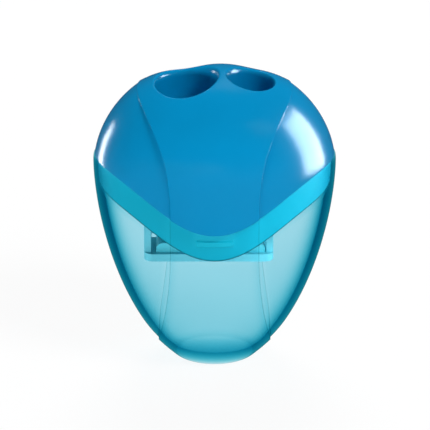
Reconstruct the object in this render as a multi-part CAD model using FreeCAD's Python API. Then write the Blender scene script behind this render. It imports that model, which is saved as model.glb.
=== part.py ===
import FreeCAD
import Part
import math
import os

# Two-hole canister pencil sharpener, in millimetres. +Z is up, the front faces -Y, and the origin
# is the middle of the flat foot. A translucent canister stands on the foot, and the opaque head
# plugs into its wavy rim and carries the two sharpeners.

Vec = FreeCAD.Vector

# Egg shape that the head and the canister share
HALF_WIDTH = 24.6
HALF_DEPTH = 18.0
WIDEST_LEVEL = 42.8
CROWN_HEIGHT = 18.8         # from the widest level up to the top
TAIL_HEIGHT = 46.2          # from the widest level down to the tip that the flat foot cuts off
CROWN_POWER = 2.13          # superellipse powers: 2 is an ellipse, less is more pointed
STRAP_CROWN_POWER = 2.25    # the strap is squarer over the shoulders than the lobes beside it
TAIL_POWER_Z = 1.7
TAIL_POWER_X = 1.92
PROFILE_STEPS = 10
FLOOR_MARGIN = 0.5          # drawn below the floor before it is cut flat
REACH = 60.0                # past every face of the egg, for cutting solids
NEAR = 0.05                 # edges nearer than this to a place lie on it

# Raised strap, front and back and over the top, shaped like an hourglass
STRAP_RISE = 0.45
WAIST_LEVEL = 29.1
WAIST_HALF = 9.0
SHOULDER_LEVEL = 57.7
SHOULDER_HALF = 15.15
TOE_LEVEL = 5.1
TOE_HALF = 11.65
STRAP_TOP = 64.0
STRAP_STEPS = 8

# Wavy seam between canister and head, the same on the front and the back
SEAM_MIDDLE = 38.6
SEAM_SWING = 5.4
SEAM_GAP = 0.15
SEAM_STEPS = 16

# Canister
CANISTER_WALL = 1.4
FOOT_WALL = 1.6

# Head
HEAD_SETBACK = 0.2          # the head stands this far inside the canister's outer face
PLUG_DEPTH = 6.4            # below the seam
PLUG_GAP = 0.2
PLUG_WALL = 1.2
TUBE_END = 49.2             # lower end of the guide tubes and the screw bosses
TUBE_TOP = 59.1             # the tubes and the bosses end inside the wall of the crown
BOSS_TOP = 58.0
TUBE_WALL = 1.2
MOUTH_ROUND = 0.6

# Catch: a rib on the plug, front and back, in a channel of the canister that opens at the rim
CATCH_HALF = 3.7
CATCH_BOTTOM = 30.3
CATCH_HEIGHT = 1.3
CATCH_ROOT = 14.8           # flat back of the rib, inside the plug's wall
CHANNEL_DEPTH = 0.55
CATCH_GAP = 0.15
CHANNEL_SIDE_GAP = 0.5

# Pencil bores: radii of the wide guides in the head, and of the sharpeners under them
LARGE_X = -5.65
LARGE_GUIDE = 6.2
LARGE_BORE = 5.75
SMALL_X = 7.25
SMALL_GUIDE = 4.6
SMALL_BORE = 4.15
BORE_Y = -0.7

# Cradle: a plate under the head, four posts and a floor
CRADLE_LEFT = -14.3
CRADLE_RIGHT = 11.9
PLATE_RIGHT = 13.2
CRADLE_HALF_DEPTH = 8.6
CRADLE_CORNER = 1.8
PLATE_THICK = 1.8
FLOOR_BOTTOM = 23.8
FLOOR_THICK = 1.6
FLOOR_BACK = 0.0            # the floor is open behind this line, so that shavings drop
POST_WIDTH = 1.4
POST_DEPTH = 2.0
POST_Y = 7.4                # outer face of the posts
PLATE_CLEARANCE = 0.2       # round each pencil guide
LUG_X = -0.2
LUG_Y = 8.4
LUG_RADIUS = 2.6

# Sharpener bodies: a cone for the pencil, a slanted seat for the blade and a foot
TAPER = 0.225               # radius gained for each unit of height
NOSE_RADIUS = 0.9
BODY_WALL = 1.2
SEAT_LEFT = 6.2
SEAT_RIGHT = 2.6
SEAT_FRONT = 2.2
SEAT_TOP_MARGIN = 2.6       # the collar above the seat
BLADE_BITE = 0.4            # how far the blade lies inside the cone
CHIP_RELIEF = 1.4
BODY_FOOT_FRONT = 6.8
BODY_FOOT_BACK = 0.4
BODY_FOOT_HEIGHT = 2.0
BODY_FOOT_ROUND = 1.4
LARGE_FOOT_RIGHT = 6.2
SMALL_FOOT_RIGHT = 2.95

# Blades
BLADE_LENGTH = 18.8
BLADE_WIDTH = 6.1
BLADE_THICK = 0.6
BLADE_BEVEL = 1.3
BLADE_FOOT_GAP = 0.5
BLADE_HOLE = 1.2            # radius
BLADE_CORNER = 0.8

# Screws
BLADE_SCREW_X = -4.1        # from the bore's axis
BLADE_SCREW_RADIUS = 1.0
BLADE_SCREW_LENGTH = 3.6
BLADE_SCREW_HEAD = 1.9
BLADE_SCREW_HEAD_HEIGHT = 1.2
CRADLE_SCREW_RADIUS = 1.1
CRADLE_SCREW_LENGTH = 7.0
CRADLE_SCREW_HEAD = 2.1
CRADLE_SCREW_HEAD_HEIGHT = 1.4
THREAD_GAP = 0.02
RECESS_REACH = 0.6          # share of the screw head's radius
RECESS_WIDTH = 0.5
RECESS_DEPTH = 0.6

PLATE_BOTTOM = TUBE_END - PLATE_THICK
FLOOR_TOP = FLOOR_BOTTOM + FLOOR_THICK
SEAT_TOP = PLATE_BOTTOM - SEAT_TOP_MARGIN
PLUG_INSET = CANISTER_WALL + PLUG_GAP
SLANT = math.atan(TAPER)
ALONG_SEAT = Vec(0, math.sin(SLANT), math.cos(SLANT))
OUT_OF_SEAT = Vec(0, math.cos(SLANT), -math.sin(SLANT))


def box(x0, x1, y0, y1, z0, z1):
    """A box between two corners."""
    return Part.makeBox(x1 - x0, y1 - y0, z1 - z0, Vec(x0, y0, z0))


def cylinder(radius, x, y, z0, z1):
    """An upright cylinder from z0 to z1."""
    return Part.makeCylinder(radius, z1 - z0, Vec(x, y, z0))


def line(*points):
    """Straight edges from point to point."""
    return [Part.makeLine(a, b) for a, b in zip(points, points[1:])]


def curve(points, start, end):
    """One smooth edge through the points, with its directions at both ends."""
    spline = Part.BSplineCurve()
    spline.interpolate(Points=points, InitialTangent=start.normalize(), FinalTangent=end.normalize(),
                       Scale=False)
    return spline.toShape()


def egg(inset, floor, power=CROWN_POWER):
    """The egg, drawn in by inset on every side and cut flat at the level floor."""
    width = HALF_WIDTH - inset
    crown = CROWN_HEIGHT - inset
    tail = TAIL_HEIGHT - inset
    low = floor - FLOOR_MARGIN
    crown_points = []
    for step in range(PROFILE_STEPS):
        turn = step * math.pi / 2 / PROFILE_STEPS
        x = width * math.cos(turn) ** (2 / power)
        crown_points.append(Vec(x, 0, WIDEST_LEVEL + crown * math.sin(turn) ** (2 / power)))
    top = Vec(0, 0, WIDEST_LEVEL + crown)
    last_turn = math.asin(((WIDEST_LEVEL - low) / tail) ** (TAIL_POWER_Z / 2))
    tail_points = []
    for step in range(PROFILE_STEPS + 1):
        turn = step * last_turn / PROFILE_STEPS
        x = width * math.cos(turn) ** (2 / TAIL_POWER_X)
        tail_points.append(Vec(x, 0, WIDEST_LEVEL - tail * math.sin(turn) ** (2 / TAIL_POWER_Z)))
    end_x = width / TAIL_POWER_X * math.cos(last_turn) ** (2 / TAIL_POWER_X - 1) * math.sin(last_turn)
    end_z = tail / TAIL_POWER_Z * math.sin(last_turn) ** (2 / TAIL_POWER_Z - 1) * math.cos(last_turn)
    edges = [curve(crown_points + [top], Vec(0, 0, 1), Vec(-1, 0, 0))]
    edges += line(top, Vec(0, 0, low), tail_points[-1])
    edges.append(curve(tail_points, Vec(0, 0, -1), Vec(-end_x, 0, -end_z)))
    profile = Part.Face(Part.Wire(Part.__sortEdges__(edges)))
    round_egg = profile.revolve(Vec(0, 0, 0), Vec(0, 0, 1), 360)
    flatten = FreeCAD.Matrix()
    flatten.scale(1, (HALF_DEPTH - inset) / width, 1)
    flat_egg = round_egg.transformGeometry(flatten)
    return flat_egg.common(box(-REACH, REACH, -REACH, REACH, floor, 2 * REACH))


def strap_half(level):
    """Half width of the strap: quartic above the waist, quadratic below it."""
    if level > WAIST_LEVEL:
        rise = (level - WAIST_LEVEL) / (SHOULDER_LEVEL - WAIST_LEVEL)
        return WAIST_HALF + (SHOULDER_HALF - WAIST_HALF) * rise ** 4
    fall = (WAIST_LEVEL - level) / (WAIST_LEVEL - TOE_LEVEL)
    return WAIST_HALF + (TOE_HALF - WAIST_HALF) * fall ** 2


def strap_prism():
    """The strap's outline, seen from the front, carried through the whole depth."""
    levels = [STRAP_TOP * step / STRAP_STEPS for step in range(STRAP_STEPS + 1)]
    right = Part.BSplineCurve()
    right.interpolate([Vec(strap_half(level), -REACH, level) for level in levels])
    left = Part.BSplineCurve()
    left.interpolate([Vec(-strap_half(level), -REACH, level) for level in levels])
    edges = [right.toShape(), left.toShape()]
    edges += line(right.StartPoint, left.StartPoint)
    edges += line(right.EndPoint, left.EndPoint)
    outline = Part.Face(Part.Wire(Part.__sortEdges__(edges)))
    return outline.extrude(Vec(0, 2 * REACH, 0))


def seam_level(x):
    """Height of the seam: one cosine wave, lowest in the middle of the front and the back."""
    return SEAM_MIDDLE - SEAM_SWING * math.cos(math.pi * x / HALF_WIDTH)


def above_seam(shift):
    """Everything above the seam, which is moved up by shift."""
    points = []
    for step in range(SEAM_STEPS + 1):
        x = HALF_WIDTH * (2 * step / SEAM_STEPS - 1)
        points.append(Vec(x, -REACH, seam_level(x) + shift))
    edges = [curve(points, Vec(1, 0, 0), Vec(1, 0, 0))]
    rim = points[0].z
    edges += line(points[-1], Vec(REACH, -REACH, rim), Vec(REACH, -REACH, 2 * REACH),
                  Vec(-REACH, -REACH, 2 * REACH), Vec(-REACH, -REACH, rim), points[0])
    outline = Part.Face(Part.Wire(Part.__sortEdges__(edges)))
    return outline.extrude(Vec(0, 2 * REACH, 0))


def strapped_egg(inset):
    """The egg with the raised strap on it."""
    strap = egg(inset - STRAP_RISE, 0, STRAP_CROWN_POWER).common(strap_prism())
    return egg(inset, 0).fuse(strap)


def canister():
    """Thin translucent shell below the seam, with a channel inside for each catch rib."""
    side = CATCH_HALF + CHANNEL_SIDE_GAP
    channel = egg(CANISTER_WALL - CHANNEL_DEPTH, FOOT_WALL)
    channel = channel.common(box(-side, side, -REACH, REACH, CATCH_BOTTOM - CATCH_GAP, REACH))
    shell = strapped_egg(0).cut(egg(CANISTER_WALL, FOOT_WALL))
    return shell.cut(channel).cut(above_seam(0))


def head_shell():
    """Opaque head: crown with two mouths, plug, catch ribs, guide tubes and screw bosses."""
    shell = strapped_egg(HEAD_SETBACK).cut(egg(PLUG_INSET + PLUG_WALL, FOOT_WALL))
    around = box(-REACH, REACH, -REACH, REACH, -REACH, 2 * REACH)
    rebate = around.cut(above_seam(SEAM_GAP)).cut(egg(PLUG_INSET, 0))
    head = shell.common(above_seam(-PLUG_DEPTH)).cut(rebate)
    catch = egg(CANISTER_WALL - CHANNEL_DEPTH + CATCH_GAP, 0)
    catch_top = CATCH_BOTTOM + CATCH_HEIGHT
    ribs = [catch.common(box(-CATCH_HALF, CATCH_HALF, y0, y1, CATCH_BOTTOM, catch_top))
            for y0, y1 in ((-REACH, -CATCH_ROOT), (CATCH_ROOT, REACH))]
    tubes = [cylinder(LARGE_GUIDE + TUBE_WALL, LARGE_X, BORE_Y, TUBE_END, TUBE_TOP),
             cylinder(SMALL_GUIDE + TUBE_WALL, SMALL_X, BORE_Y, TUBE_END, TUBE_TOP)]
    bosses = [cylinder(LUG_RADIUS, LUG_X, y, TUBE_END, BOSS_TOP) for y in (-LUG_Y, LUG_Y)]
    head = head.fuse(ribs + tubes + bosses)
    bores = [cylinder(LARGE_GUIDE, LARGE_X, BORE_Y, 0, 2 * REACH),
             cylinder(SMALL_GUIDE, SMALL_X, BORE_Y, 0, 2 * REACH)]
    pilots = [cylinder(CRADLE_SCREW_RADIUS + THREAD_GAP, LUG_X, y, TUBE_END,
                       TUBE_END + CRADLE_SCREW_LENGTH) for y in (-LUG_Y, LUG_Y)]
    head = head.cut(bores + pilots)
    return head.makeFillet(MOUTH_ROUND, mouth_edges(head))


def mouth_edges(head):
    """The edges where the pencil bores come out of the crown."""
    mouths = []
    for edge in head.Edges:
        for x, radius in ((LARGE_X, LARGE_GUIDE), (SMALL_X, SMALL_GUIDE)):
            reaches = [math.hypot(v.X - x, v.Y - BORE_Y) for v in edge.Vertexes]
            on_bore = all(abs(reach - radius) < NEAR for reach in reaches)
            if on_bore and edge.BoundBox.ZMin > BOSS_TOP:
                mouths.append(edge)
    return mouths


def rounded_plate(left, right, bottom, top):
    """A flat plate of the cradle's depth with rounded corners."""
    plate = box(left, right, -CRADLE_HALF_DEPTH, CRADLE_HALF_DEPTH, bottom, top)
    corners = [edge for edge in plate.Edges if edge.BoundBox.ZLength > (top - bottom) / 2]
    return plate.makeFillet(CRADLE_CORNER, corners)


def sharpener_cradle():
    """Frame that hangs under the head: plate with lugs, corner posts, and a half-open floor."""
    plate = rounded_plate(CRADLE_LEFT, PLATE_RIGHT, PLATE_BOTTOM, TUBE_END)
    lugs = [cylinder(LUG_RADIUS, LUG_X, y, PLATE_BOTTOM, TUBE_END) for y in (-LUG_Y, LUG_Y)]
    floor = rounded_plate(CRADLE_LEFT, CRADLE_RIGHT, FLOOR_BOTTOM, FLOOR_TOP)
    floor = floor.cut(box(CRADLE_LEFT + POST_WIDTH, CRADLE_RIGHT - POST_WIDTH,
                          FLOOR_BACK, POST_Y - POST_DEPTH, FLOOR_BOTTOM, FLOOR_TOP))
    posts = []
    for x in (CRADLE_LEFT, CRADLE_RIGHT - POST_WIDTH):
        for y in (-POST_Y, POST_Y - POST_DEPTH):
            posts.append(box(x, x + POST_WIDTH, y, y + POST_DEPTH, FLOOR_TOP, PLATE_BOTTOM))
    cradle = plate.fuse(lugs + [floor] + posts)
    holes = [cylinder(CRADLE_SCREW_RADIUS + PLATE_CLEARANCE, LUG_X, y, PLATE_BOTTOM, TUBE_END)
             for y in (-LUG_Y, LUG_Y)]
    for x, guide in ((LARGE_X, LARGE_GUIDE), (SMALL_X, SMALL_GUIDE)):
        holes.append(cylinder(guide + PLATE_CLEARANCE, x, BORE_Y, PLATE_BOTTOM, TUBE_END))
        holes.append(cylinder(NOSE_RADIUS, x, BORE_Y, FLOOR_BOTTOM, FLOOR_TOP))
    return cradle.cut(holes).removeSplitter()


def at_bore(shape, x):
    """Moves a piece that was made round the Z axis to the axis of a pencil bore."""
    return shape.translated(Vec(x, BORE_Y, 0))


def funnel(bore, wall):
    """Cone from the nose up to the bore, then straight to the plate; wall is added all round."""
    cone_top = FLOOR_TOP + (bore - NOSE_RADIUS) / TAPER
    cone = Part.makeCone(NOSE_RADIUS + wall, bore + wall, cone_top - FLOOR_TOP, Vec(0, 0, FLOOR_TOP))
    return cone.fuse(cylinder(bore + wall, 0, 0, cone_top, PLATE_BOTTOM))


def on_seat(x, along):
    """A point of the slanted blade seat, x beside the bore's axis and along it from the floor."""
    return Vec(x, NOSE_RADIUS - BLADE_BITE, FLOOR_TOP) + ALONG_SEAT * along


def behind_seat(x0, x1, depth):
    """Everything behind the slanted seat, moved into the body by depth, below the collar."""
    low = NOSE_RADIUS - BLADE_BITE - depth
    high = low + TAPER * (SEAT_TOP - FLOOR_TOP)
    points = [Vec(x0, low, FLOOR_TOP), Vec(x0, high, SEAT_TOP), Vec(x0, REACH, SEAT_TOP),
              Vec(x0, REACH, FLOOR_TOP), Vec(x0, low, FLOOR_TOP)]
    return Part.Face(Part.Wire(line(*points))).extrude(Vec(x1 - x0, 0, 0))


def sharpener_body(bore, foot_right):
    """Moulded body: funnel for the pencil, seat block for the blade, and a rounded foot."""
    block = box(-SEAT_LEFT, SEAT_RIGHT, -SEAT_FRONT, bore + BODY_WALL, FLOOR_TOP, SEAT_TOP)
    foot = box(-SEAT_LEFT, foot_right, -BODY_FOOT_FRONT, BODY_FOOT_BACK,
               FLOOR_TOP, FLOOR_TOP + BODY_FOOT_HEIGHT)
    shoulders = [edge for edge in foot.Edges
                 if edge.BoundBox.ZMin > FLOOR_TOP + NEAR and edge.BoundBox.YLength > BODY_FOOT_ROUND]
    foot = foot.makeFillet(BODY_FOOT_ROUND, shoulders)
    body = funnel(bore, BODY_WALL).fuse([block, foot]).cut(funnel(bore, 0))
    body = body.cut(behind_seat(-REACH, 0, 0))
    body = body.cut(behind_seat(0, REACH, CHIP_RELIEF))
    pilot = Part.makeCylinder(BLADE_SCREW_RADIUS + THREAD_GAP, BLADE_SCREW_LENGTH,
                              SCREW_PLACE, OUT_OF_SEAT * -1)
    return body.cut(pilot).removeSplitter()


def blade():
    """Flat steel blade on the seat, with its bevelled edge over the slot of the cone."""
    start = on_seat(0, BLADE_FOOT_GAP)
    corners = [(0, 0), (-BLADE_WIDTH, 0), (-BLADE_WIDTH, BLADE_THICK), (-BLADE_BEVEL, BLADE_THICK)]
    points = [start + Vec(x, 0, 0) + OUT_OF_SEAT * out for x, out in corners]
    section = Part.Face(Part.Wire(line(*points, points[0])))
    steel = section.extrude(ALONG_SEAT * BLADE_LENGTH)
    back_edges = [edge for edge in steel.Edges
                  if abs(edge.Length - BLADE_THICK) < NEAR and edge.BoundBox.XLength < NEAR]
    steel = steel.makeFillet(BLADE_CORNER, back_edges)
    hole = Part.makeCylinder(BLADE_HOLE, REACH, SCREW_PLACE - OUT_OF_SEAT * REACH / 2, OUT_OF_SEAT)
    return steel.cut(hole)


def screw(place, out, radius, length, head_radius, head_height):
    """Pan-head screw with a cross recess: its head stands on place and its shank goes back in."""
    top = place + out * head_height
    shank = Part.makeCylinder(radius, length, place, out * -1)
    head = Part.makeCylinder(head_radius, head_height, place, out)
    rim = [edge for edge in head.Edges if (edge.BoundBox.Center - top).Length < NEAR]
    head = head.makeFillet(head_height / 2, rim)
    half = head_radius * RECESS_REACH
    turn = FreeCAD.Placement(top, FreeCAD.Rotation(Vec(0, 0, 1), out))
    slots = [box(-half, half, -RECESS_WIDTH / 2, RECESS_WIDTH / 2, -RECESS_DEPTH, RECESS_DEPTH),
             box(-RECESS_WIDTH / 2, RECESS_WIDTH / 2, -half, half, -RECESS_DEPTH, RECESS_DEPTH)]
    for slot in slots:
        slot.Placement = turn.multiply(slot.Placement)
    return shank.fuse(head).cut(slots).removeSplitter()


def blade_screw():
    """Screw that holds a blade on its seat."""
    return screw(SCREW_PLACE + OUT_OF_SEAT * BLADE_THICK, OUT_OF_SEAT, BLADE_SCREW_RADIUS,
                 BLADE_SCREW_LENGTH, BLADE_SCREW_HEAD, BLADE_SCREW_HEAD_HEIGHT)


def cradle_screws():
    """The two screws that hold the cradle's lugs to the bosses of the head."""
    return Part.makeCompound([
        screw(Vec(LUG_X, y, PLATE_BOTTOM), Vec(0, 0, -1), CRADLE_SCREW_RADIUS, CRADLE_SCREW_LENGTH,
              CRADLE_SCREW_HEAD, CRADLE_SCREW_HEAD_HEIGHT) for y in (-LUG_Y, LUG_Y)])


SCREW_PLACE = on_seat(BLADE_SCREW_X, BLADE_FOOT_GAP + BLADE_LENGTH / 2)

nodes = {
    "canister": canister(),
    "head_shell": head_shell(),
    "sharpener_cradle": sharpener_cradle(),
    "large_sharpener_body": at_bore(sharpener_body(LARGE_BORE, LARGE_FOOT_RIGHT), LARGE_X),
    "small_sharpener_body": at_bore(sharpener_body(SMALL_BORE, SMALL_FOOT_RIGHT), SMALL_X),
    "large_blade": at_bore(blade(), LARGE_X),
    "small_blade": at_bore(blade(), SMALL_X),
    "large_blade_screw": at_bore(blade_screw(), LARGE_X),
    "small_blade_screw": at_bore(blade_screw(), SMALL_X),
    "cradle_screws": cradle_screws(),
}

os.makedirs("parts", exist_ok=True)
for name, shape in nodes.items():
    shape.exportStep("parts/" + name + ".step")
    print(name, len(shape.Solids), "solids", round(shape.Volume, 1), "mm3", shape.isValid())
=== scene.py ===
import math

import bmesh
import bpy
import numpy as np
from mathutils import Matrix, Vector


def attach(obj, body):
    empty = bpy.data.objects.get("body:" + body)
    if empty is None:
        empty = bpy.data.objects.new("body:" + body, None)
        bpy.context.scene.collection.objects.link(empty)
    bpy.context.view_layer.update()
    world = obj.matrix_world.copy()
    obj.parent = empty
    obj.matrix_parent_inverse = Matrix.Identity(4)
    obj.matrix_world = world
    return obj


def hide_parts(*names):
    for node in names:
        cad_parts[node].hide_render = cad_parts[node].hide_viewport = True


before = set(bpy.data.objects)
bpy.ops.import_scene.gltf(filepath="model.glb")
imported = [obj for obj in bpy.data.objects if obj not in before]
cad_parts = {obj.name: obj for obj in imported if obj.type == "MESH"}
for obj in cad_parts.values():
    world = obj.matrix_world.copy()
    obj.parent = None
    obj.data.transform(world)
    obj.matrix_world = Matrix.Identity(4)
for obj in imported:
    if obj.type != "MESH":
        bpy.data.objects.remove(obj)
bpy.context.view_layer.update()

MM = 0.001

# Camera, as the photograph was taken: straight in front, from above, through a long lens
VIEW_ELEVATION = 24.0
VIEW_DISTANCE = 1.2
VIEW_WIDTH = 0.0876
VIEW_AIM = Vector((0.00008, 0.0, 0.0303))

# Shells, in millimetres: the outsides are close to the solids', the linings follow the look of the wall
HALF_WIDTH = 24.6
HALF_DEPTH = 18.0
WIDEST = 42.8                       # level at which the egg is widest
TAIL = 46.2                         # how far the egg goes down from there
TAIL_POWERS = (1.7, 1.92)           # upright and across
LOBE_CROWN = (20.0, 1.7, 2.5)       # height over the widest level, and the two powers
STRAP_CROWN = (18.8, 2.25, 2.25)
LINING_CROWN = (18.8, 2.13, 2.13)
STRAP_RISE = 0.45
STRAP_SLOPE = 0.25                  # half the width of the slope at the strap's edge
STRAP_LIMIT = 0.995                 # largest share of the width that the strap takes, near the foot
WAIST_LEVEL = 29.1
WAIST_HALF = 9.0
SHOULDER_LEVEL = 57.7
SHOULDER_HALF = 15.15
TOE_LEVEL = 5.1
TOE_HALF = 11.65
SEAM_MIDDLE = 38.6
SEAM_SWING = 5.4
SEAM_GAP = 0.15

# The canister
CANISTER_WALL = 1.7                 # at the sides
FRONT_WALL = 0.8                    # in front, behind and in the socket
SOCKET_DEPTH = 7.3                  # how far the socket of the plug goes down from the rim
SOCKET_SLOPE = 0.8
LINING_FLAT = 0.885                 # how flat the lobes are inside, below the socket
LINING_POWER = 30                   # how sharply the inside turns at the sides
LINING_SLOPE = 2.2                  # half the width of the slope inside the strap's edge
RIM_ROUND = 0.2
FLOOR_TOP = 1.1
FLOOR_ROUND = 1.2
FLOOR_SHRINK = 0.2                  # how much narrower the flat floor is than the wall round it
FLOOR_TILT = 0.13                   # fall of the floor to the back
FLOOR_TILT_LEVEL = 8.0              # the tilt dies out up to here
FOOT_ROUND = 0.4
FOOT_NARROW = 0.09                  # how far the foot is drawn in sideways
FOOT_DEEPEN = 0.10                  # how far it goes out to the front and the back
FOOT_LEVEL = 8.0                    # both die out up to here
HEEL_DRAW = 0.11                    # share by which the foot is drawn in for each millimetre of its round
SOLE_LEVEL = 0.01                   # what lies below is the foot's underside
CHANNEL_HALF = 4.2
CHANNEL_LOW = 30.15
CHANNEL_DEPTH = 0.3
CHANNEL_SLOPE = 0.3

# The crown and the plug
HEAD_SETBACK = 0.2                  # how far the crown stands back from the canister
HEAD_EDGE_ROUND = 0.15
COLLAR_LOW = 56.5                   # where the crown's ring ends and its cap begins, front and back
COLLAR_HIGH = 59.0                  # the same over the lobes
LINING_COLLAR = 55.1
PLUG_OUT = 1.0                      # how far inside the egg the plug's outside and its inside lie
PLUG_IN = 2.8
PLUG_DEPTH = 6.4                    # how far it goes down from the seam
PLUG_RISE = 0.6                     # how far it goes up into the crown
PLUG_EDGE = 0.3
PLUG_PAINTED_SHADE_BLUR = 0.1                # half the width of the blur where the painted shade along its lower edge begins
CATCH_HALF = 3.7
CATCH_LOW = 30.3
CATCH_HIGH = 31.6
CATCH_OUT = 0.3
CATCH_SLOPE = 0.12
CATCH_DROPS = (4.2, 1.2, 0.12)      # the plug's rows are close between these drops from the seam; their step
TOP_DROPS = (0.9, 0.5, 0, -PLUG_RISE)    # its rows above the catch

# Mouths: x, y and radius of the guide; reach of the lip at the sides, the front and the back; its depth
LARGE_MOUTH = (-5.65, -0.7, 6.2, (0.68, 1.9, 1.6), (2.0, 5.0, 1.6))
SMALL_MOUTH = (7.25, -0.7, 4.6, (0.66, 0.95, 1.1), (1.8, 3.0, 1.1))
# Dishes behind the mouths: x, y, the two spreads and the depth
DISHES = ((-5.65, 8.5, 4.2, 5.0, 0.7), (7.6, 7.0, 3.2, 4.5, 0.25))
TUBE_END = 49.2                     # lower end of the guides
TUBE_WALL = 0.6
WEB_X = 1.6                         # where the web between the mouths stands
WEB_COLUMN = 2                      # column of the ring at which it meets the collar
WEB_RAYS = 41

# Columns and rows of the grids
CATCH_PLACES = (0.38, 0.5)          # places between which the columns are close together
EDGE_PLACES = (0.93, 1.03)
FINE_COLUMNS = 12
STRAP_COLUMNS = (9, 12)             # from the middle to the catch's end, and on to the strap's edge
LOBE_COLUMNS = 30
SETTLE_ROUNDS = 12                  # rounds in which a level settles on the wavy seam
DISC_RINGS = (0, 0.25, 0.5, 0.7, 0.82)   # rings of the foot and of the floor, as shares of their edge
ROUND_ROWS = 8                      # rows of each quarter round of the canister
OUTSIDE_ROWS = 78
INSIDE_ROWS = 90
PLUG_ROWS = (8, 9)                  # below the catch, and inside
EDGE_ROWS = 6                       # rows of each quarter round of the head
CROWN_LINING_ROWS = 16
CROWN_ROWS = (56, 30)               # up to the share below, and close together from there to the collar
CROWN_SHARE = 0.9
CAP_ROWS = 30
LIP_ROWS = 14
BORE_ROWS = 7
GUIDE_ROWS = 4
CEILING_ROWS = 12

# Finishes
MOTTLE = (0.94, 1.06)               # range of a colour's mottling
UNEVEN = (0.8, 1.2)                 # range of a skin's roughness
EDGE_DEEPENING = 3.0                # power of the slant with which the canister's colour deepens

# Floor, room and lamps, in metres and watts
FLOOR_REACH = 4.0
FLOOR_LEVEL = -2e-5
FLOOR_WHITE = 0.9                   # share of plain white that the floor shows; the rest takes the shadow
ROOM_LIGHT = 0.15
ROOM_REFLECTION = 0.04
LAMP_AIM = (0, 0, 0.04)
CARD_AIM = (0, 0, 0.055)
# Name, place, width, height and power; the cards only show as reflections
LAMPS = (
    ("key", (0.58, -0.44, 0.82), 0.35, 0.35, 7.9),
    ("back", (0.0, 0.7, 0.75), 0.5, 0.5, 7.5),
    ("fill", (-0.65, -0.65, 0.05), 0.5, 0.08, 3.0),
    ("front", (-0.15, -0.9, 0.05), 0.5, 0.08, 1.3),
)
CARDS = (
    ("right_card", (0.115, 0.0, 0.068), 0.07, 0.1, 0.58),
    ("left_card", (-0.11, 0.06, 0.025), 0.025, 0.08, 0.1),
)

MERGE = 2e-8                        # metres
SHARP = math.radians(50)


def soft_step(value):
    """0 below -1 and 1 above 1, with a smooth cubic between."""
    part = np.clip((value + 1) / 2, 0, 1)
    return part * part * (3 - 2 * part)


def egg_half(level, inset, crown):
    """Half width of the egg at a level: above the widest level it is 1 less the height to one power, all to
    1 over the other power; below it the same with the longer tail."""
    height, upright, sideways = crown
    rise = np.clip((level - WIDEST) / (height - inset), 0, 1)
    fall = np.clip((WIDEST - level) / (TAIL - inset), 0, 1)
    above = (1 - rise ** upright) ** (1 / sideways)
    below = (1 - fall ** TAIL_POWERS[0]) ** (1 / TAIL_POWERS[1])
    return (HALF_WIDTH - inset) * np.where(level > WIDEST, above, below)


def egg_point(level, across, along, inset, crown):
    """Point of the egg at a level: an ellipse, where across and along are the sine and the cosine of the
    turn from the Y axis."""
    half = egg_half(level, inset, crown)
    depth = half * (HALF_DEPTH - inset) / (HALF_WIDTH - inset)
    return np.stack(np.broadcast_arrays(half * across, depth * along, level), axis=-1)


def strap_half(level):
    """Half width of the strap: quartic above the waist, quadratic below it."""
    above = np.clip((level - WAIST_LEVEL) / (SHOULDER_LEVEL - WAIST_LEVEL), 0, None)
    below = np.clip((WAIST_LEVEL - level) / (WAIST_LEVEL - TOE_LEVEL), 0, None)
    return WAIST_HALF + (SHOULDER_HALF - WAIST_HALF) * above ** 4 + (TOE_HALF - WAIST_HALF) * below ** 2


def strapped_point(level, across, along, inset):
    """Egg with the raised strap: the point goes from the lobes' egg to the strap's over a soft slope at the
    strap's edge."""
    lobe = egg_point(level, across, along, inset, LOBE_CROWN)
    strap = egg_point(level, across, along, inset - STRAP_RISE, STRAP_CROWN)
    share = soft_step((strap_half(level) - np.abs(strap[..., 0])) / STRAP_SLOPE)
    return lobe + share[..., None] * (strap - lobe)


def seam_level(x):
    """Height of the seam: one cosine wave, lowest in the middle of the front and the back."""
    return SEAM_MIDDLE - SEAM_SWING * np.cos(np.pi * x / HALF_WIDTH)


def ring_quarter():
    """Places of the columns in a quarter of a shell: 0 to 1 over half the strap and 1 to 2 over half a lobe,
    close together at the strap's edge and at the catch."""
    catch_in, catch_out = CATCH_PLACES
    edge_in, edge_out = EDGE_PLACES
    strap = np.concatenate([np.linspace(0, catch_in, STRAP_COLUMNS[0])[:-1],
                            np.linspace(catch_in, catch_out, FINE_COLUMNS)[:-1],
                            np.linspace(catch_out, edge_in, STRAP_COLUMNS[1])[:-1],
                            np.linspace(edge_in, 1, FINE_COLUMNS)])
    lobe = np.concatenate([np.linspace(1, edge_out, FINE_COLUMNS)[1:],
                           np.linspace(edge_out, 2, LOBE_COLUMNS)[1:]])
    return np.concatenate([strap, lobe])


def ring_columns():
    """Columns round a shell from the middle of the front, anticlockwise: their places, and the signs of x
    and y."""
    quarter = ring_quarter()
    count = len(quarter) - 1
    place = np.concatenate([quarter[:-1], quarter[:0:-1], quarter[:-1], quarter[:0:-1]])
    side = np.repeat([1, 1, -1, -1], count)
    face = np.repeat([-1, 1, 1, -1], count)
    return place, side, face


def ring_turn(columns, level):
    """Sine and cosine of each column's turn, so that the column at place 1 follows the strap's edge."""
    place, side, face = columns
    share = strap_half(level) / egg_half(level, -STRAP_RISE, STRAP_CROWN)
    edge = np.arcsin(np.clip(share, 0, STRAP_LIMIT))
    on_strap = np.arcsin(np.sin(edge) * np.minimum(place, 1))
    on_lobe = edge + (np.pi / 2 - edge) * np.maximum(place - 1, 0)
    turn = np.where(place < 1, on_strap, on_lobe)
    return side * np.sin(turn), face * np.cos(turn)


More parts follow.
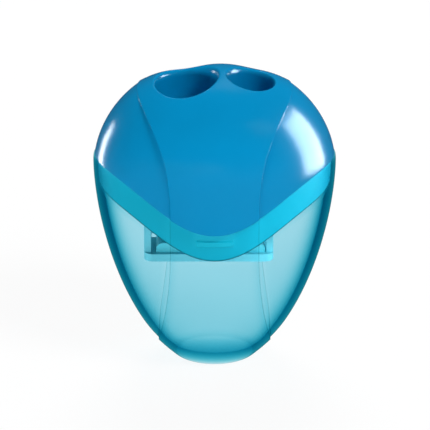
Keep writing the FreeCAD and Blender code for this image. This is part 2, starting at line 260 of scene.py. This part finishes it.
def lining_along(across, along, flat):
    """Cosine for the insides, whose lobes are flatter than an ellipse: the root of 1 less a share of the
    square of the sine, closed at the sides by 1 less a high power of the sine."""
    open_side = np.clip((1 - flat * across ** 2) * (1 - across ** LINING_POWER), 0, 1)
    return np.sign(along) * np.sqrt(open_side)


def canister_wall(columns, level, depth):
    """Point in the canister's wall: depth 0 is the strapped outside and depth 1 the inside, which draws back
    under the strap, at the channel of the catch and in the socket of the plug. Near the foot x shrinks and y
    grows with the square of the height left to the foot's level."""
    across, along = ring_turn(columns, level)
    outside = strapped_point(level, across, along, 0)
    x = egg_half(level, FRONT_WALL, LINING_CROWN) * across
    channel = soft_step((CHANNEL_HALF - np.abs(x)) / CHANNEL_SLOPE)
    channel = channel * soft_step((level - CHANNEL_LOW) / CHANNEL_SLOPE)
    strap = soft_step((strap_half(level) - np.abs(x)) / LINING_SLOPE)
    socket = soft_step((level - seam_level(x) + SOCKET_DEPTH) / SOCKET_SLOPE)
    back = STRAP_RISE * strap + CHANNEL_DEPTH * channel
    side = CANISTER_WALL + socket * (FRONT_WALL - CANISTER_WALL) - back
    half = egg_half(level, side, LINING_CROWN)
    deep = half * (HALF_DEPTH - FRONT_WALL + back) / (HALF_WIDTH - side)
    flat = LINING_FLAT + socket * (1 - LINING_FLAT)
    inside = np.stack([half * across, deep * lining_along(across, along, flat), level], axis=-1)
    point = outside + depth[..., None] * (inside - outside)
    foot = np.clip(1 - level / FOOT_LEVEL, 0, 1) ** 2
    point[..., 0] *= 1 - FOOT_NARROW * foot
    point[..., 1] *= 1 + FOOT_DEEPEN * foot
    return point


def canister_rows(depth, fixed, share, lift, scale):
    """Rows of the canister's grid, from five values that are one number for all or one for each row: the
    depth in the wall; a fixed level; the share of the way from there to the rim; the lift from the rim at the
    end of that way; and the scale that draws the row in."""
    return np.stack(np.broadcast_arrays(depth, fixed, share, lift, scale))


def canister_grid():
    """Closed shell in rows from the middle of the foot, up the outside, over the rounded rim, and down the
    inside to the middle of the floor, which falls to the back; and a mark that is 1 on the outside above the
    foot's underside and 0 on the inside."""
    turn = np.linspace(0, np.pi / 2, ROUND_ROWS)
    disc = np.array(DISC_RINGS)
    rise = np.linspace(0, 1, OUTSIDE_ROWS + 2)[1:-1]
    sink = np.linspace(1, 0, INSIDE_ROWS + 2)[1:-1]
    bend = RIM_ROUND * (np.sin(turn) - 1)
    rim_out = RIM_ROUND / CANISTER_WALL * (1 - np.cos(turn))
    heel_level = FOOT_ROUND * (1 - np.cos(turn))
    heel_scale = 1 - HEEL_DRAW * FOOT_ROUND * (1 - np.sin(turn))
    corner_level = FLOOR_TOP + FLOOR_ROUND * (1 - np.sin(turn))
    corner_scale = 1 - FLOOR_SHRINK * (1 - np.cos(turn))
    rows = np.hstack([
        canister_rows(0, 0, 0, 0, disc),
        canister_rows(0, heel_level, 0, 0, heel_scale),
        canister_rows(0, FOOT_ROUND, rise, bend[0], 1),
        canister_rows(rim_out, 0, 1, bend, 1),
        canister_rows(1 - rim_out[::-1], 0, 1, bend[::-1], 1),
        canister_rows(1, FLOOR_TOP + FLOOR_ROUND, sink, bend[0], 1),
        canister_rows(1, corner_level, 0, 0, corner_scale),
        canister_rows(1, FLOOR_TOP, 0, 0, (1 - FLOOR_SHRINK) * disc[::-1]),
    ])
    depth, fixed, share, lift, scale = rows[:, :, None]
    columns = ring_columns()
    depth = depth + 0 * columns[0]
    level = np.full_like(depth, SEAM_MIDDLE)
    for _ in range(SETTLE_ROUNDS):
        level = seam_level(canister_wall(columns, level, depth)[..., 0])
    grid = canister_wall(columns, fixed + share * (level + lift - fixed), depth)
    grid[..., :2] *= scale[..., None]
    tilt = FLOOR_TILT * np.clip(1 - (grid[..., 2] - FLOOR_TOP) / FLOOR_TILT_LEVEL, 0, 1) ** 2
    grid[..., 2] -= np.where(depth == 1, tilt * grid[..., 1], 0)
    return grid, (1 - depth) * np.where(grid[..., 2] < SOLE_LEVEL, 0, 1)


def plug_wall(columns, level, depth):
    """Point in the plug's wall: depth 0 is the outside, which stands out at the catch, and depth 1 the
    inside."""
    across, along = ring_turn(columns, level)
    x = egg_half(level, PLUG_OUT, LINING_CROWN) * across
    catch = soft_step((CATCH_HALF - np.abs(x)) / CATCH_SLOPE)
    catch = catch * soft_step((level - CATCH_LOW) / CATCH_SLOPE)
    catch = catch * soft_step((CATCH_HIGH - level) / CATCH_SLOPE)
    inset = PLUG_OUT - CATCH_OUT * catch
    outside = egg_point(level, across, lining_along(across, along, 1), inset, LINING_CROWN)
    inside = egg_point(level, across, along, PLUG_IN, LINING_CROWN)
    return outside + depth[..., None] * (inside - outside)


def plug_grid():
    """Closed band in rows up the outside, from the crown down the inside, and round the lower edge, with the
    drop of each point below the seam."""
    turn = np.linspace(0, np.pi / 2, EDGE_ROWS)
    bottom = PLUG_DEPTH - PLUG_EDGE
    below, above, step = CATCH_DROPS
    rise = np.concatenate([np.linspace(bottom, below, PLUG_ROWS[0])[:-1],
                           np.arange(below, above, -step), TOP_DROPS])
    sink = np.linspace(-PLUG_RISE, bottom, PLUG_ROWS[1])
    bend = PLUG_EDGE / (PLUG_IN - PLUG_OUT) * (1 - np.cos(turn))
    under = bottom + PLUG_EDGE * np.sin(turn)
    depth = np.concatenate([0 * rise, 1 + 0 * sink, 1 - bend[1:], bend[:0:-1]])[:, None]
    drop = np.concatenate([rise, sink, under[1:], under[:0:-1]])[:, None]
    columns = ring_columns()
    depth = depth + 0 * columns[0]
    level = np.full_like(depth, SEAM_MIDDLE)
    for _ in range(SETTLE_ROUNDS):
        level = seam_level(plug_wall(columns, level, depth)[..., 0]) - drop
    return plug_wall(columns, level, depth), drop + 0 * depth


def cap_height(x, y, inset, crown):
    """Height of the crown over a plan point: the egg's equation solved for the level."""
    height, upright, sideways = crown
    out = np.hypot(x / (HALF_WIDTH - inset), y / (HALF_DEPTH - inset))
    return WIDEST + (height - inset) * np.clip(1 - out ** sideways, 0, 1) ** (1 / upright)


def dish_depth(x, y):
    """How far the crown is dished behind the mouths: the sum of two bell curves over the plan."""
    place_x, place_y, spread_x, spread_y, depth = np.array(DISHES).T
    far = ((x[..., None] - place_x) / spread_x) ** 2 + ((y[..., None] - place_y) / spread_y) ** 2
    return (depth * np.exp(-far)).sum(axis=-1)


def crown_ring():
    """Ring of the crown in rows from the collar down the lining, across the lower edge with its quarter
    round, and up the strapped and dished outside to the collar."""
    columns = ring_columns()
    place = columns[0]
    turn = np.linspace(0, np.pi / 2, EDGE_ROWS)
    sink = np.linspace(1, 0, CROWN_LINING_ROWS)
    rise = np.concatenate([np.linspace(0, CROWN_SHARE, CROWN_ROWS[0])[1:-1],
                           np.linspace(CROWN_SHARE, 1, CROWN_ROWS[1])])
    inset = np.concatenate([np.full(len(sink), PLUG_IN), HEAD_SETBACK + HEAD_EDGE_ROUND * (1 - np.sin(turn)),
                            np.full(len(rise), HEAD_SETBACK)])[:, None]
    lift = np.concatenate([np.zeros(len(sink)), HEAD_EDGE_ROUND * (1 - np.cos(turn)),
                           np.full(len(rise), HEAD_EDGE_ROUND)])[:, None]
    share = np.concatenate([sink, np.zeros(len(turn)), rise])[:, None]
    lining = np.arange(len(inset))[:, None] < len(sink)
    collar = COLLAR_LOW + (COLLAR_HIGH - COLLAR_LOW) * np.minimum(place, 1) ** 4
    collar = np.where(lining, LINING_COLLAR, collar)

    def wall(level):
        across, along = ring_turn(columns, level)
        inside = egg_point(level, across, along, PLUG_IN, LINING_CROWN)
        return np.where(lining[..., None], inside, strapped_point(level, across, along, inset))

    level = np.full(collar.shape, SEAM_MIDDLE)
    for _ in range(SETTLE_ROUNDS):
        level = seam_level(wall(level)[..., 0]) + SEAM_GAP + lift
    grid = wall(level + share * (collar - level))
    grid[..., 2] -= np.where(lining, 0, dish_depth(grid[..., 0], grid[..., 1]))
    return grid


def mouth_reach(around, reach):
    """Value that goes from the sides of a mouth to its front and its back with the square of the sine."""
    side, front, back = reach
    sine = np.sin(around)
    return side + (np.where(sine < 0, front, back) - side) * sine ** 2


def half_border(ring, side):
    """Plan points round one half of the cap, anticlockwise: along the web between the mouths, whose x goes
    from the ring's to the web's with the square of y, and then along the ring."""
    count = len(ring) // 4
    front, back = WEB_COLUMN, 2 * count - WEB_COLUMN
    share = np.linspace(-1, 1, WEB_RAYS)
    edge_x, edge_y = ring[back]
    web = np.stack([WEB_X + (edge_x - WEB_X) * share ** 2, edge_y * share], axis=-1)
    if side < 0:
        return np.concatenate([web, ring[back + 1:], ring[:front]])
    return np.concatenate([web[::-1], ring[front + 1:back]])


def cap_half(mouth, side, collar, lining_collar):
    """Half of the cap round one mouth, rows by rays: from the collar to the lip, over the lip's quarter of an
    ellipse, down the bore, round the end of the guide, and along the lining to its collar."""
    mouth_x, mouth_y, guide, reach, fall = mouth
    inset = HEAD_SETBACK - STRAP_RISE
    border = half_border(collar[:, :2], side)
    around = np.arctan2(border[:, 1] - mouth_y, border[:, 0] - mouth_x)
    lip = mouth_reach(around, reach)
    fall = mouth_reach(around, fall)

    def ring(radius):
        return mouth_x + radius * np.cos(around), mouth_y + radius * np.sin(around)

    def outside(x, y):
        return cap_height(x, y, inset, STRAP_CROWN) - dish_depth(x, y)

    share = np.linspace(1, 0, CAP_ROWS)[:, None]
    x, y = ring(guide + lip)
    x, y = x + share * (border[:, 0] - x), y + share * (border[:, 1] - y)
    cap = np.stack([x, y, outside(x, y)], axis=-1)

    bend = np.linspace(0, np.pi / 2, LIP_ROWS)[1:, None]
    x, y = ring(guide + lip * (1 - np.sin(bend)))
    level = outside(x, y) - fall * (1 - np.cos(bend))
    rounded = np.stack([x, y, level], axis=-1)

    share = np.linspace(0, 1, BORE_ROWS)[1:, None]
    x, y = ring(guide + 0 * share)
    bore = np.stack([x, y, level[-1] + share * (TUBE_END - level[-1])], axis=-1)

    x, y = ring(guide + TUBE_WALL)
    root = cap_height(x, y, PLUG_IN, LINING_CROWN)
    share = np.linspace(0, 1, GUIDE_ROWS)[:, None]
    guide_wall = np.stack([x + 0 * share, y + 0 * share, TUBE_END + share * (root - TUBE_END)], axis=-1)
    border = half_border(lining_collar[:, :2], side)
    share = np.linspace(0, 1, CEILING_ROWS)[1:, None]
    x, y = x + share * (border[:, 0] - x), y + share * (border[:, 1] - y)
    lining = np.stack([x, y, cap_height(x, y, PLUG_IN, LINING_CROWN)], axis=-1)
    return np.concatenate([cap, rounded, bore, guide_wall, lining])


def grid_faces(grid, closed):
    """Corner numbers of a grid's quads, closed round its columns, and round its rows too where closed."""
    number = np.arange(grid.shape[0] * grid.shape[1]).reshape(grid.shape[:2])
    if closed:
        number = np.vstack([number, number[:1]])
    beside = np.roll(number, -1, axis=1)
    return np.stack([number[:-1], beside[:-1], beside[1:], number[1:]], axis=-1).reshape(-1, 4)


def new_piece(name, points, faces, finish, body, shade=None):
    """A smooth piece in millimetres on a body: its mesh gets the points and faces, points that fall together
    are merged, and shade, where given, becomes an attribute of the points."""
    mesh = bpy.data.meshes.new(name)
    mesh.from_pydata((points.reshape(-1, 3) * MM).tolist(), [], faces.tolist())
    if shade is not None:
        mesh.attributes.new("shade", "FLOAT", "POINT").data.foreach_set("value", shade.ravel())
    work = bmesh.new()
    work.from_mesh(mesh)
    bmesh.ops.remove_doubles(work, verts=work.verts, dist=MERGE)
    work.to_mesh(mesh)
    work.free()
    mesh.shade_smooth()
    mesh.set_sharp_from_angle(angle=SHARP)
    mesh.materials.append(finish)
    piece = bpy.data.objects.new(name, mesh)
    bpy.context.scene.collection.objects.link(piece)
    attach(piece, body)
    return piece


def canister_piece(finish):
    """The canister's shell; its shade marks the outer skin."""
    grid, outer = canister_grid()
    faces = grid_faces(grid, False)
    piece = new_piece("frosted_canister", grid, faces, finish, "canister_body", outer)
    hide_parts("canister")


def crown_piece(finish):
    """The head's crown: the ring and the two halves of the cap, whose borders fall together."""
    ring = crown_ring()
    grids = [ring, cap_half(LARGE_MOUTH, -1, ring[-1], ring[0]), cap_half(SMALL_MOUTH, 1, ring[-1], ring[0])]
    counts = np.cumsum([0] + [grid.shape[0] * grid.shape[1] for grid in grids])
    faces = np.concatenate([grid_faces(grid, False) + start for grid, start in zip(grids, counts)])
    points = np.concatenate([grid.reshape(-1, 3) for grid in grids])
    piece = new_piece("crown", points, faces, finish, "head_body")
    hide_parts("head_shell")


def plug_piece(finish):
    """The plug below the crown, with the catches; its shade attribute marks the lower edge, where painted
    shade goes.
    """
    grid, drop = plug_grid()
    # painted shade: 1 along the plug's lower edge, blurred where it begins
    shade = soft_step((drop - PLUG_DEPTH + PLUG_EDGE) / PLUG_PAINTED_SHADE_BLUR)
    new_piece("plug", grid, grid_faces(grid, True), finish, "head_body", shade)


def new_finish(name):
    """A node material, its node tree and its one Principled shader."""
    finish = bpy.data.materials.new(name)
    finish.use_nodes = True
    tree = finish.node_tree
    return finish, tree, tree.nodes["Principled BSDF"]


def feed(tree, socket, value):
    """Links a node's input to another node's output, or sets it to a number or colour."""
    if isinstance(value, bpy.types.NodeSocket):
        tree.links.new(value, socket)
    else:
        socket.default_value = value


def add(tree, kind, **sockets):
    """A node of that kind with its named inputs set or linked."""
    node = tree.nodes.new(kind)
    for name, value in sockets.items():
        feed(tree, node.inputs[name], value)
    return node


def spread(tree, value, low, high):
    """A value of 0 to 1 spread from low to high."""
    node = tree.nodes.new("ShaderNodeMapRange")
    feed(tree, node.inputs["Value"], value)
    feed(tree, node.inputs["To Min"], low)
    feed(tree, node.inputs["To Max"], high)
    return node.outputs["Result"]


def worked_out(tree, operation, first, second):
    """A value worked out from two others."""
    node = tree.nodes.new("ShaderNodeMath")
    node.operation = operation
    feed(tree, node.inputs[0], first)
    feed(tree, node.inputs[1], second)
    return node.outputs[0]


def mixed_colour(tree, factor, first, second):
    """A colour that goes from the first to the second with a factor of 0 to 1."""
    node = tree.nodes.new("ShaderNodeMix")
    node.data_type = "RGBA"
    feed(tree, node.inputs["Factor"], factor)
    feed(tree, node.inputs["A"], first)
    feed(tree, node.inputs["B"], second)
    return node.outputs["Result"]


def mixed_surface(tree, factor, first, second):
    """Makes the surface a mix that goes from the first shader to the second with a factor of 0 to 1."""
    node = tree.nodes.new("ShaderNodeMixShader")
    feed(tree, node.inputs[0], factor)
    feed(tree, node.inputs[1], first.outputs[0])
    feed(tree, node.inputs[2], second.outputs[0])
    feed(tree, tree.nodes["Material Output"].inputs["Surface"], node.outputs[0])


def point_shade(tree):
    """The shade that a piece's points carry."""
    node = tree.nodes.new("ShaderNodeAttribute")
    node.attribute_name = "shade"
    return node.outputs["Fac"]


def moulded_plastic(name, colour, roughness):
    """Moulded plastic: faint mottling in the colour, and an uneven, slightly rippled skin."""
    finish, tree, shader = new_finish(name)
    place = tree.nodes.new("ShaderNodeTexCoord").outputs["Object"]
    cloud = add(tree, "ShaderNodeTexNoise", Vector=place, Scale=90.0, Detail=3.0)
    grain = add(tree, "ShaderNodeTexNoise", Vector=place, Scale=2500.0, Detail=2.0)
    tone = tree.nodes.new("ShaderNodeVectorMath")
    tone.name = "tone"
    tone.operation = "SCALE"
    feed(tree, tone.inputs[0], colour)
    feed(tree, tone.inputs["Scale"], spread(tree, cloud.outputs["Fac"], *MOTTLE))
    feed(tree, shader.inputs["Base Color"], tone.outputs["Vector"])
    smoothest, roughest = roughness * UNEVEN[0], roughness * UNEVEN[1]
    feed(tree, shader.inputs["Roughness"], spread(tree, grain.outputs["Fac"], smoothest, roughest))
    bump = add(tree, "ShaderNodeBump", Strength=0.05, Distance=0.0001, Height=grain.outputs["Fac"])
    feed(tree, shader.inputs["Normal"], bump.outputs["Normal"])
    return finish


def head_finish():
    """Glossy blue plastic, whose reflections are tinted where they are seen straight on."""
    finish = moulded_plastic("head_gloss", (0.0, 0.235, 0.49), 0.21)
    shader = finish.node_tree.nodes["Principled BSDF"]
    shader.inputs["Specular IOR Level"].default_value = 0.3
    shader.inputs["Specular Tint"].default_value = (0.75, 0.9, 1.0, 1)
    return finish


def plug_finish():
    """The head's plastic inside the canister, with painted shade along its lower edge."""
    finish = moulded_plastic("plug_gloss", (0.01, 0.56, 0.7), 0.5)
    tree = finish.node_tree
    shader = tree.nodes["Principled BSDF"]
    shader.inputs["Specular IOR Level"].default_value = 0.3
    tone = tree.nodes["tone"].outputs["Vector"]
    # painted shade: the colour goes to a dark teal along the plug's lower edge, standing in for shadow there
    colour = mixed_colour(tree, point_shade(tree), tone, (0.0, 0.12, 0.16, 1))
    feed(tree, shader.inputs["Base Color"], colour)
    return finish


def canister_finish():
    """Clear blue plastic: the wall takes up light, so that its thick sides are deep in colour, and the outer
    skin deepens with a power of the slant at which it is seen. Lamplight goes through it almost unchanged."""
    finish, tree, shader = new_finish("canister_frost")
    place = tree.nodes.new("ShaderNodeTexCoord").outputs["Object"]
    cloud = add(tree, "ShaderNodeTexNoise", Vector=place, Scale=70.0, Detail=3.0)
    tint = mixed_colour(tree, cloud.outputs["Fac"], (0.97, 0.94, 0.98, 1), (1.0, 0.97, 1.0, 1))
    feed(tree, shader.inputs["Base Color"], tint)
    shader.inputs["IOR"].default_value = 1.003
    shader.inputs["Transmission Weight"].default_value = 1.0
    shader.inputs["Roughness"].default_value = 0.0
    slant = add(tree, "ShaderNodeLayerWeight", Blend=0.5).outputs["Facing"]
    edge = worked_out(tree, "MULTIPLY", worked_out(tree, "POWER", slant, EDGE_DEEPENING), point_shade(tree))
    to_lamp = tree.nodes.new("ShaderNodeLightPath").outputs["Is Shadow Ray"]
    colour = mixed_colour(tree, to_lamp, (0.06, 0.43, 0.46, 1), (0.95, 0.99, 0.99, 1))
    clear = add(tree, "ShaderNodeBsdfTransparent", Color=colour)
    mixed_surface(tree, worked_out(tree, "MAXIMUM", edge, to_lamp), shader, clear)
    wall = add(tree, "ShaderNodeVolumeAbsorption", Color=(0.0, 0.74, 0.815, 1), Density=640.0)
    feed(tree, tree.nodes["Material Output"].inputs["Volume"], wall.outputs[0])
    return finish


def steel_finish():
    """Plain ground steel."""
    finish = moulded_plastic("steel", (0.66, 0.67, 0.7), 0.4)
    finish.node_tree.nodes["Principled BSDF"].inputs["Metallic"].default_value = 0.5
    return finish


cradle_satin = moulded_plastic("cradle_satin", (0.4, 0.82, 0.9), 0.35)
body_satin = moulded_plastic("body_satin", (0.25, 0.82, 0.9), 0.35)
steel = steel_finish()

FINISHES = {
    "sharpener_cradle": cradle_satin,
    "large_sharpener_body": body_satin,
    "small_sharpener_body": body_satin,
    "large_blade": steel,
    "small_blade": steel,
    "large_blade_screw": steel,
    "small_blade_screw": steel,
    "cradle_screws": steel,
}
for node, finish in FINISHES.items():
    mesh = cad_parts[node].data
    mesh.materials.clear()
    mesh.materials.append(finish)

canister_piece(canister_finish())
crown_piece(head_finish())
plug_piece(plug_finish())


def floor():
    """A wide pale floor, a hair below the foot, that shows white but for the object's shadow."""
    mesh = bpy.data.meshes.new("floor")
    corners = [(-FLOOR_REACH, -FLOOR_REACH, FLOOR_LEVEL), (FLOOR_REACH, -FLOOR_REACH, FLOOR_LEVEL),
               (FLOOR_REACH, FLOOR_REACH, FLOOR_LEVEL), (-FLOOR_REACH, FLOOR_REACH, FLOOR_LEVEL)]
    mesh.from_pydata(corners, [], [(0, 1, 2, 3)])
    piece = bpy.data.objects.new("floor", mesh)
    bpy.context.scene.collection.objects.link(piece)
    finish, tree, shader = new_finish("floor_paper")
    shader.inputs["Base Color"].default_value = (0.88, 0.88, 0.88, 1)
    shader.inputs["Roughness"].default_value = 0.9
    shader.inputs["Specular IOR Level"].default_value = 0.0
    ray = tree.nodes.new("ShaderNodeLightPath")
    either = worked_out(tree, "MAXIMUM", ray.outputs["Is Camera Ray"], ray.outputs["Is Transmission Ray"])
    white = add(tree, "ShaderNodeEmission", Color=(1, 1, 1, 1), Strength=1.0)
    mixed_surface(tree, spread(tree, either, 0.0, FLOOR_WHITE), shader, white)
    mesh.materials.append(finish)
    piece.visible_glossy = False


def studio():
    """World of an even, dim room, dark in reflections."""
    world = bpy.data.worlds.new("studio")
    bpy.context.scene.world = world
    world.use_nodes = True
    tree = world.node_tree
    ray = tree.nodes.new("ShaderNodeLightPath")
    room = tree.nodes["Background"]
    room.inputs["Color"].default_value = (1, 1, 1, 1)
    strength = spread(tree, ray.outputs["Is Glossy Ray"], ROOM_LIGHT, ROOM_REFLECTION)
    feed(tree, room.inputs["Strength"], strength)


def softbox(name, place, aim, width, height, power):
    """A rectangular area lamp that faces aim."""
    lamp = bpy.data.lights.new(name, "AREA")
    lamp.shape = "RECTANGLE"
    lamp.size = width
    lamp.size_y = height
    lamp.energy = power
    piece = bpy.data.objects.new(name, lamp)
    bpy.context.scene.collection.objects.link(piece)
    piece.location = place
    piece.rotation_euler = (Vector(aim) - Vector(place)).to_track_quat("-Z", "Y").to_euler()
    return piece


floor()
studio()
for name, place, width, height, power in LAMPS:
    lamp = softbox(name, place, LAMP_AIM, width, height, power)
    lamp.visible_glossy = False
    lamp.visible_transmission = False
for name, place, width, height, power in CARDS:
    card = softbox(name, place, CARD_AIM, width, height, power)
    card.visible_camera = False
    card.visible_diffuse = False
    card.visible_transmission = False

# Camera
lens = bpy.data.cameras.new("camera")
lens.lens = lens.sensor_width * VIEW_DISTANCE / VIEW_WIDTH
camera = bpy.data.objects.new("camera", lens)
bpy.context.scene.collection.objects.link(camera)
tilt = math.radians(VIEW_ELEVATION)
camera.location = VIEW_AIM + VIEW_DISTANCE * Vector((0, -math.cos(tilt), math.sin(tilt)))
camera.rotation_euler = (math.pi / 2 - tilt, 0, 0)
bpy.context.scene.camera = camera
bpy.context.scene.view_settings.view_transform = "Standard"
